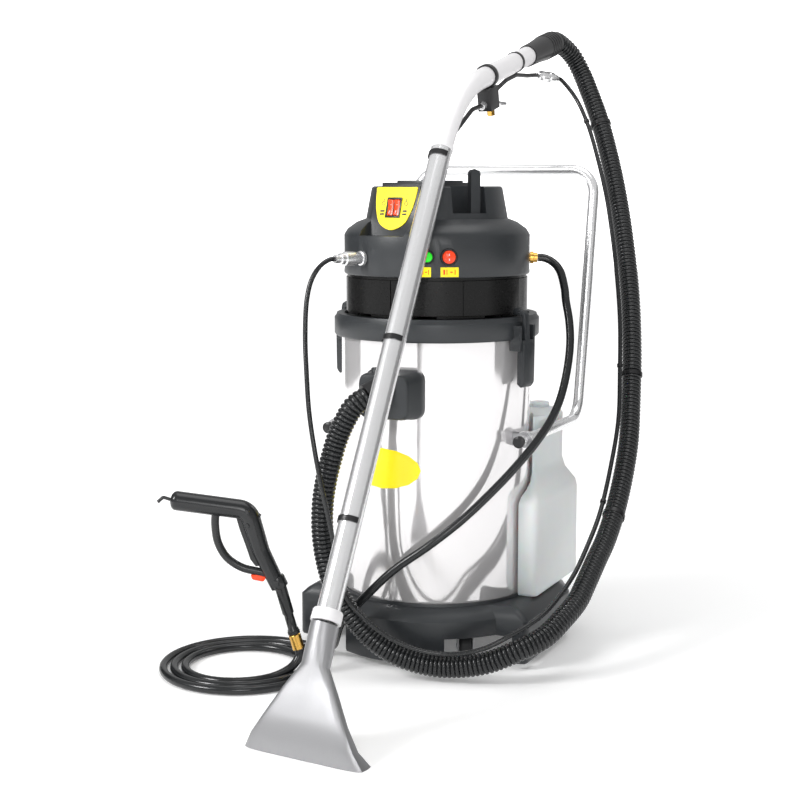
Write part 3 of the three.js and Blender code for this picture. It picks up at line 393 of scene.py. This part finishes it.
def ribbed_hose():
    """The suction hose: a ring rib at every pitch along it."""
    pitch = SUCTION["pitch"] * MM
    path = flowing(in_place(SUCTION_ROUTE), pitch / 6)
    high, low = SUCTION["d"] / 2 * MM, SUCTION["groove"] / 2 * MM
    wave = [low, low + 0.65 * (high - low), high - 0.06 * (high - low), high, high - 0.06 * (high - low),
            low + 0.65 * (high - low)]
    radii = [wave[i % 6] for i in range(len(path))]
    hose = tube("suction_hose_ribbed", path, radii, HOSE, Matrix.Identity(4), sides=28, sharp=80)
    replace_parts(hose, "suction_hose")
    return hose, path


def smooth_hose(name, path, diameter, finish):
    curve = bpy.data.curves.new(name, "CURVE")
    curve.dimensions = "3D"
    curve.bevel_depth = diameter / 2 * MM
    curve.bevel_resolution = 5
    curve.use_fill_caps = True
    spline = curve.splines.new("POLY")
    spline.points.add(len(path) - 1)
    for point, where in zip(spline.points, path):
        point.co = (*where, 1)
    spline.use_smooth = True
    made = bpy.data.objects.new(name, curve)
    bpy.context.scene.collection.objects.link(made)
    curve.materials.append(finish)
    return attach(made, "machine")


def tie(name, path, near, other):
    """A strap round the suction hose, at its point nearest to a place, and a loop round the thin hose."""
    centre = min(path, key=lambda p: (p - near).length)
    i = path.index(centre)
    on = (path[min(i + 4, len(path) - 1)] - path[max(i - 4, 0)]).normalized()
    thin = min(other, key=lambda p: (p - centre).length)
    out = SUCTION["d"] / 2 + 0.2
    band = [(out, -4), (out + 1.6, -4), (out + 1.6, 4), (out, 4)]
    turn = on.to_track_quat("Z", "Y").to_matrix().to_4x4()
    strap = lathe(name, band, Matrix.Translation(centre) @ turn @ Matrix.Scale(MM, 4), BLACK, segments=40)
    small = THIN_D / 2 + 0.2
    loop = [(small, -3), (small + 1.4, -3), (small + 1.4, 3), (small, 3)]
    round_thin = Matrix.Translation(thin) @ turn @ Matrix.Scale(MM, 4)
    ring = lathe(name + "_loop", loop, round_thin, BLACK, segments=24)
    return strap, ring


def hoses():
    suction, suction_path = ribbed_hose()
    thin_path = flowing(in_place(SOLUTION_ROUTE), 0.006)
    solution = smooth_hose("solution_hose_smooth", thin_path, THIN_D, HOSE)
    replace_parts(solution, "solution_hose")
    gun_path = flowing(in_place(GUN_ROUTE + coil_route() + GUN_TAIL), 0.008)
    gun = smooth_hose("gun_hose_smooth", gun_path, GUN_HOSE_D, GLOSS_BLACK)
    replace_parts(gun, "gun_hose", "gun_hose_coil", "gun_hose_tail")
    straps = []
    for name, spot in (("hose_tie_high", (150, 562, 1050)), ("hose_tie_middle", (300, 340, 520)),
                       ("hose_tie_low", (330, 150, 255))):
        straps += tie(name, suction_path, place(*spot), thin_path)


# ---- CAD nodes that are kept, with their finish ----
KEPT = {
    CHARCOAL: ["chassis_base", "inlet_housing", "collar_ring", "latch_left", "latch_right", "head_cover"],
    BLACK: ["inlet_cuff", "handle_cap_left", "handle_cap_right", "switch_frame", "cable_gland",
            "motor_plate", "motor_housing", "wand_cuff",
            "valve_body"],
    VENT_BLACK: ["vent_ring"],
    GLOSS_BLACK: ["gun_body", "gun_trigger"],
    STEEL: ["outlet_coupler", "wand_coupler"],
    BRUSHED: ["rear_axle", "caster_fork_left", "caster_fork_right", "handle_bracket_left",
              "handle_bracket_right", "impeller", "pump_body", "floor_tool", "valve_lever"],
    WHITE: ["float_cage", "float_ball", "tool_collar"],
    TANK: ["solution_tank", "tank_cap"],
    BRASS: ["brass_outlet", "gun_nut"],
    YELLOW: ["control_panel"],
    RED: ["rocker_vacuum", "rocker_pump", "red_switch", "gun_lock"],
    GREEN: ["green_button"],
    TYRE: ["rear_wheel_left", "rear_wheel_right", "caster_wheel_left", "caster_wheel_right"],
}
SOFT_EDGES = {
    "chassis_base": 1.6, "inlet_housing": 1.6, "collar_ring": 0.9, "latch_left": 1.0, "latch_right": 1.0,
    "solution_tank": 2.0, "valve_body": 1.0, "gun_trigger": 1.0, "gun_lock": 0.8, "gun_body": 1.2,
    "rocker_vacuum": 0.5, "rocker_pump": 0.5, "switch_frame": 0.4, "head_cover": 1.0, "motor_plate": 0.4,
}


def kept_nodes():
    for finish, names in KEPT.items():
        for name in names:
            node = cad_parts[name]
            node.data.materials.clear()
            node.data.materials.append(finish)
            if "custom_normal" in node.data.attributes:
                node.data.attributes.remove(node.data.attributes["custom_normal"])
            node.data.polygons.foreach_set("use_smooth", [True] * len(node.data.polygons))
            weld = node.modifiers.new("weld", "WELD")
            weld.merge_threshold = 0.00002
            if name in SOFT_EDGES:
                soften = node.modifiers.new("soften", "BEVEL")
                soften.width = SOFT_EDGES[name] * MM
                soften.segments = 2
                soften.limit_method = "ANGLE"
                soften.angle_limit = math.radians(38)
                soften.use_clamp_overlap = True
                soften.harden_normals = False
            split = node.modifiers.new("split", "EDGE_SPLIT")
            split.split_angle = math.radians(22 if name == "floor_tool" else 38)


# ---- drum ----
def drum():
    r, low, top = DRUM["r"], DRUM["bottom"], DRUM["top"]
    profile = [(0.01, low), (r - 5, low), (r - 1.5, low + 1.5), (r, low + 6), (r, top), (r - 1.6, top),
               (r - 1.6, low + 7), (0.01, low + 2)]
    shell = lathe("drum_polished", profile, MACHINE, MIRROR, segments=192, sharp=50)
    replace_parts(shell, "drum_shell")
    wrapped("oval_sticker", r, 0.5, MACHINE, -9.2, 80, 39, 381, YELLOW, oval=True)


# ---- handle ----
def handle():
    x, low, bar = HANDLE["x"], HANDLE["low"], HANDLE["bar_y"]
    corners = [(x, HANDLE["cap_y"], low), (x, HANDLE["back_y"], low), (x, bar, HANDLE["top"]),
               (-x, bar, HANDLE["top"]), (-x, HANDLE["back_y"], low), (-x, HANDLE["cap_y"], low)]
    made = tube("handle_smooth", bent(corners, HANDLE["bend"]), HANDLE["r"], STEEL, MACHINE, sides=32)
    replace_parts(made, "handle_tube")
    for side, name in ((-1, "left"), (1, "right")):
        start = (side * x, -40, low)
        rod(f"bracket_screw_{name}", (side * (x + 14.5), -40, low), (side * (x + 19), -40, low), 5.5, STEEL)
        band = [(15.2, -6), (16.4, -6), (16.4, 6), (15.2, 6)]
        lathe(f"bracket_band_{name}", band, aimed(start, (0, 1, 0)), STEEL, segments=32)


# ---- wand ----
LEAN = math.radians(WAND["lean"])
RISE = math.radians(WAND["upper"])
ALONG = Vector((0, math.sin(LEAN), math.cos(LEAN)))
PIPE_SIDE = Vector((-0.5, 0.866 * math.cos(LEAN), -0.866 * math.sin(LEAN)))
UPPER = Vector((0, math.cos(RISE), math.sin(RISE)))
BELOW = Vector((0, math.sin(RISE), -math.cos(RISE)))
TUBE_FOOT = Vector((0, 84, 196))
PIPE_BACK = WAND["r"] + PIPE_R + 0.4
VALVE_AT = 165
BEND_END = 430.6


def on_tube(distance, back=0):
    return TUBE_FOOT + ALONG * distance + PIPE_SIDE * back


BEND_CORNER = on_tube(1053.8)


def on_upper(distance, below=0):
    return BEND_CORNER + UPPER * distance + BELOW * below


def wand():
    r, wall, long = WAND["r"], WAND["wall"], WAND_TUBE_LENGTH
    profile = [(r - wall, 6), (r, 6), (r, long - 0.4), (r - wall, long - 0.4)]
    straight = lathe("wand_tube_smooth", profile, aimed(TUBE_FOOT, ALONG, WAND_FRAME), STEEL)
    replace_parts(straight, "wand_tube")
    curve = bent([on_tube(long), BEND_CORNER, on_upper(BEND_END)], 300, 40)
    bend = tube("wand_bend_smooth", curve, r, WHITE, WAND_FRAME, sides=48)
    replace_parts(bend, "wand_bend")
    collar = lathe("tool_collar_smooth", [(r + 0.4, 4), (r + 6, 4), (r + 6, 22), (r + 4, 25), (r + 0.4, 25)],
                   aimed(TUBE_FOOT, ALONG, WAND_FRAME), WHITE)
    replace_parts(collar, "tool_collar")
    joint = [(r, -5), (r + 1.6, -4), (r + 1.6, 4), (r, 5)]
    lathe("wand_joint_ring", joint, aimed(on_tube(long), ALONG, WAND_FRAME), WHITE)
    pipe = bent([on_tube(-62, 40), on_tube(24, 38), on_tube(110, PIPE_BACK), on_tube(935, PIPE_BACK),
                 (-4, 735, 1062), on_upper(VALVE_AT - 26, 52)], 45)
    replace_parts(tube("spray_pipe_smooth", pipe, PIPE_R, BLACK, WAND_FRAME), "spray_pipe")
    end = on_tube(-62, 40)
    tip = end + (end - on_tube(24, 38)).normalized() * 18
    rod("spray_nozzle", end, tip, 6.5, BRASS, WAND_FRAME, segments=6)
    rod("nozzle_bracket", end, on_tube(-62, 10), 3, STEEL, WAND_FRAME)
    link = bent([on_upper(VALVE_AT + 26, 38), on_upper(272, 27), on_upper(335, 27), on_upper(400, 40),
                 on_upper(465, 50)], 60)
    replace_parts(tube("valve_link_smooth", link, PIPE_R, BLACK, WAND_FRAME), "valve_link_tube")
    ferrule_r = 6.8
    low_from, low_to = on_upper(VALVE_AT - 41, 54), on_upper(VALVE_AT - 25, 52)
    rod("valve_ferrule_low", low_from, low_to, ferrule_r, STEEL, WAND_FRAME)
    high_from, high_to = on_upper(VALVE_AT + 25, 38), on_upper(VALVE_AT + 42, 35)
    rod("valve_ferrule_high", high_from, high_to, ferrule_r, STEEL, WAND_FRAME)
    nut_from, nut_to = on_upper(VALVE_AT + 8, 64), on_upper(VALVE_AT + 8, 80)
    rod("valve_brass_nut", nut_from, nut_to, 8.5, BRASS, WAND_FRAME, segments=6)
    lathe("wand_strap", [(r + 0.2, -4), (r + 1.8, -4), (r + 1.8, 4), (r + 0.2, 4)],
          aimed(on_upper(330), UPPER, WAND_FRAME), BLACK)
    for name, distance in (("low", 182), ("middle", 524), ("high", 908)):
        middle = aimed(on_tube(distance), ALONG, WAND_FRAME)
        band = arc_band(f"clip_band_{name}", r + 0.2, r + 2.4, 5, -55, 150, middle)
        spot = on_tube(distance, PIPE_BACK)
        loop = [(PIPE_R + 0.2, -5), (PIPE_R + 2, -5), (PIPE_R + 2, 5), (PIPE_R + 0.2, 5)]
        hook = lathe(f"clip_loop_{name}", loop, aimed(spot, ALONG, WAND_FRAME), BLACK, segments=28)
        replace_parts(band, f"wand_clip_{name}")
        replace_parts(hook, f"wand_clip_{name}")
    for i in range(5):
        ridge = [(26.4, -2.5), (27.6, -1.5), (27.6, 1.5), (26.4, 2.5)]
        spot = aimed(on_upper(BEND_END + 84 + 13 * i), UPPER, WAND_FRAME)
        lathe(f"wand_cuff_ridge_{i}", ridge, spot, BLACK, segments=40)


# ---- head ----
def bezel(name, angle, z, inner, outer):
    profile = [(inner, -2), (outer, -2), (outer, 2), (outer - 1, 3.2), (inner + 0.6, 3.2), (inner, 2.4)]
    lathe(name, profile, on_head(angle, z), GLOSS_BLACK, segments=48)


def head():
    bezel("green_bezel", 31.5, 783, 9.9, 13)
    bezel("red_bezel", 44, 783, 12.7, 16.2)
    spot = on_head(44, 783, HEAD["r"] + 6.4) @ Matrix.Rotation(math.radians(-90), 4, "X")
    for z, name in ((4.5, "high"), (-4.5, "low")):
        mark = block(-0.7, 0.7, z - 1.8, z + 1.8)
        slab(f"red_switch_mark_{name}", mark, spot, -0.6, 0.7, WHITE, "red_switch")
    for name, angle, half in (("label_green", 30, 11.5), ("label_red", 44.5, 17)):
        wrapped(name, HEAD["r"], 0.4, HEAD_FRAME, angle, half, 9, 755, YELLOW)
        marks = ((-0.6, 1.6, 4.5), (-0.3, 0.7, 4.5), (0.2, 2.2, 1), (0.6, 0.7, 4.5))
        for i, (shift, wide, high) in enumerate(marks):
            spot = angle + math.degrees(shift * half / HEAD["r"])
            wrapped(f"{name}_mark_{i}", HEAD["r"] + 0.4, 0.2, HEAD_FRAME, spot, wide, high, 755, RED)


def panel():
    into = panel_frame()
    for x, name in ((-7.5, "vacuum"), (7.5, "pump")):
        spot = into @ Matrix.Translation((x, -3.4, 8)) @ Matrix.Rotation(math.radians(90), 4, "X")
        circle = [(2.0, -0.4), (2.9, -0.4), (2.9, 0.5), (2.0, 0.5)]
        lathe(f"mark_o_{name}", circle, spot, WHITE, f"rocker_{name}", segments=28)
        bar = into @ Matrix.Translation((x, -4.9, -9)) @ Matrix.Rotation(math.radians(-14), 4, "X")
        slab(f"mark_i_{name}", block(-0.6, 0.6, -3.2, 3.2), bar, -0.6, 0.5, WHITE, f"rocker_{name}")
    for side, name in ((-1, "left"), (1, "right")):
        x = side * 27
        ring = into @ Matrix.Translation((x, -2.0, 8)) @ Matrix.Rotation(math.radians(90), 4, "X")
        circle = [(3.2, -0.2), (4.2, -0.2), (4.2, 0.3), (3.2, 0.3)]
        lathe(f"icon_ring_{name}", circle, ring, BLACK, segments=32)
        slab(f"icon_stem_{name}", block(x - 0.6, x + 0.6, 12, 17), into, 2.0, 2.3, BLACK)
        for i in range(2):
            low = -8 - 6 * i
            slab(f"icon_caption_{name}_{i}", block(x - 5, x + 5, low, low + 3.2), into, 2.0, 2.3, BLACK)


# ---- gun: built in its own upright plane, x across and z up ----
def gun():
    def at(x, z):
        return Vector((x, 0, z))

    up = at(-0.266, 0.964)
    foot = at(0, 54)
    spine = even(bent([at(-36, 172), at(-68, 240), at(-91, 318), at(-236, 337)], 26), 3)
    radii = []
    for i in range(len(spine)):
        share = i / (len(spine) - 1)
        left = (len(spine) - 1 - i) * 3
        r = 14.5 + 3.6 * min(share / 0.45, 1)
        radii.append(r * math.sqrt(max(1 - max(1 - left / 12, 0) ** 2, 0.04)))
    body = tube("gun_shell", spine, radii, GLOSS_BLACK, GUN_FRAME, sides=40, sharp=60)
    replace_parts(body, "gun_body")
    tip = bent([at(-230, 336), at(-249, 342), at(-259, 333)], 5, 6)
    tube("gun_nozzle", tip, 3.2, GLOSS_BLACK, GUN_FRAME, sides=16)
    stem = [(0.01, 30.4), (10.5, 30.4), (10.5, 39), (9, 41), (8.8, 68), (10.8, 71), (11.2, 132), (0.01, 136)]
    lathe("gun_stem", stem, aimed(foot, up, GUN_FRAME), GLOSS_BLACK)
    collar = [(0.01, -11), (14.2, -11), (15.6, -9), (15.6, 8), (14.6, 10), (0.01, 10)]
    lathe("gun_collar", collar, aimed(at(-37, 182), at(-0.42, 0.907), GUN_FRAME), GLOSS_BLACK)
    loop = [at(-151, 322), at(-153, 290), at(-148, 256), at(-132, 228), at(-104, 209), at(-76, 202),
            at(-54, 197)]
    tube("gun_guard", flowing(loop, 3), 7.6, GLOSS_BLACK, GUN_FRAME, sides=20)
    web = flowing([at(-74, 300), at(-92, 314), at(-120, 321)], 3)
    tube("gun_web", web, 12, GLOSS_BLACK, GUN_FRAME, sides=24)
    for z, name in ((318, "high"), (292, "low")):
        rod(f"gun_boss_{name}", (-92, -18.6, z), (-88, -8, z), 4.6, GLOSS_BLACK, GUN_FRAME)
    lathe("gun_nut_ring", [(9, 30.2), (11.6, 30.2), (11.6, 35), (9, 35)], aimed(foot, up, GUN_FRAME), BLACK)


# ---- base ----
def base():
    for angle in (45, 135, 225, 315):
        spot = MACHINE @ Matrix.Rotation(math.radians(angle), 4, "Z") @ Matrix.Translation((204, 0, 108))
        screw = [(0.01, -3), (5, -3), (5, 1.2), (4, 2), (0.01, 2)]
        lathe(f"base_screw_{angle}", screw, spot, BLACK, segments=20)


# ---- camera, floor and light ----
def camera():
    lens = bpy.data.cameras.new("camera")
    lens.lens = 67.64
    lens.sensor_width = 36
    made = bpy.data.objects.new("camera", lens)
    made.location = (1.2727, -2.6269, 0.9126)
    made.rotation_euler = (math.radians(81.91), 0, math.radians(25.40))
    bpy.context.scene.collection.objects.link(made)
    bpy.context.scene.camera = made


def floor():
    """The floor glows faintly far from the cleaner, so that it runs into the white dome."""
    nodes, links = FLOOR.node_tree.nodes, FLOOR.node_tree.links
    where = nodes.new("ShaderNodeTexCoord")
    spread = nodes.new("ShaderNodeMapping")
    spread.inputs["Scale"].default_value = (0.34, 0.34, 0.34)
    centre = nodes.new("ShaderNodeTexGradient")
    centre.gradient_type = "SPHERICAL"
    glow = nodes.new("ShaderNodeMapRange")
    glow.inputs["To Min"].default_value = 0.62
    glow.inputs["To Max"].default_value = 0.12
    links.new(where.outputs["Object"], spread.inputs["Vector"])
    links.new(spread.outputs["Vector"], centre.inputs["Vector"])
    links.new(centre.outputs["Fac"], glow.inputs["Value"])
    links.new(glow.outputs["Result"], nodes["Principled BSDF"].inputs["Emission Strength"])
    reach, low = 15, -0.0005
    corners = [(-reach, -reach, low), (reach, -reach, low), (reach, reach, low), (-reach, reach, low)]
    made = piece("floor", corners, [(0, 1, 2, 3)], FLOOR, body=None, into=Matrix.Identity(4), smooth=False)


def backdrop():
    """A white dome far round the floor, for the camera only."""
    profile = [(14, -0.6), (14, 6), (11, 10), (5, 12), (0.01, 12.5), (0.01, 12.6), (14.2, 12.6), (14.2, -0.6)]
    made = lathe("backdrop", profile, Matrix.Identity(4), BACKDROP, body=None)
    made.visible_diffuse = False
    made.visible_glossy = False
    made.visible_shadow = False


def card(name, centre, size, grey):
    """A dark or pale card for the polished steel to mirror. The camera doesn't see it, nor does it shade."""
    finish = material(name, (grey, grey, grey), 1.0)
    half = size / 2
    corners = [(-half, 0, -half), (half, 0, -half), (half, 0, half), (-half, 0, half)]
    made = piece(name, corners, [(0, 1, 2, 3)], finish, body=None, into=Matrix.Identity(4), smooth=False)
    made.location = centre
    made.rotation_euler = (0, 0, math.atan2(centre[1], centre[0]) - math.pi / 2)
    made.visible_camera = False
    made.visible_diffuse = False
    made.visible_shadow = False


def light(name, where, towards, size, power):
    lamp = bpy.data.lights.new(name, "AREA")
    lamp.shape = "SQUARE"
    lamp.size = size
    lamp.energy = power
    made = bpy.data.objects.new(name, lamp)
    made.location = where
    made.rotation_euler = (Vector(towards) - Vector(where)).to_track_quat("-Z", "Y").to_euler()
    bpy.context.scene.collection.objects.link(made)


def studio():
    scene = bpy.context.scene
    scene.world = bpy.data.worlds.new("studio")
    scene.world.use_nodes = True
    sky = scene.world.node_tree.nodes["Background"]
    sky.inputs["Color"].default_value = (1, 1, 1, 1)
    sky.inputs["Strength"].default_value = 0.55
    scene.view_settings.view_transform = "Standard"
    light("key", (-1.9, -2.7, 2.4), (0, 0, 0.4), 1.0, 85)
    light("front", (1.6, -3.6, 1.6), (0, 0, 0.6), 1.2, 30)
    light("top", (0.3, 0.2, 3.4), (0, 0, 0), 2.2, 30)
    card("card_left", (-3.2, 0.6, 1.0), 2.6, 0.05)
    card("card_right", (3.0, 1.6, 1.0), 2.6, 0.05)


camera()
hoses()
kept_nodes()
drum()
handle()
wand()
head()
panel()
gun()
base()
floor()
backdrop()
studio()
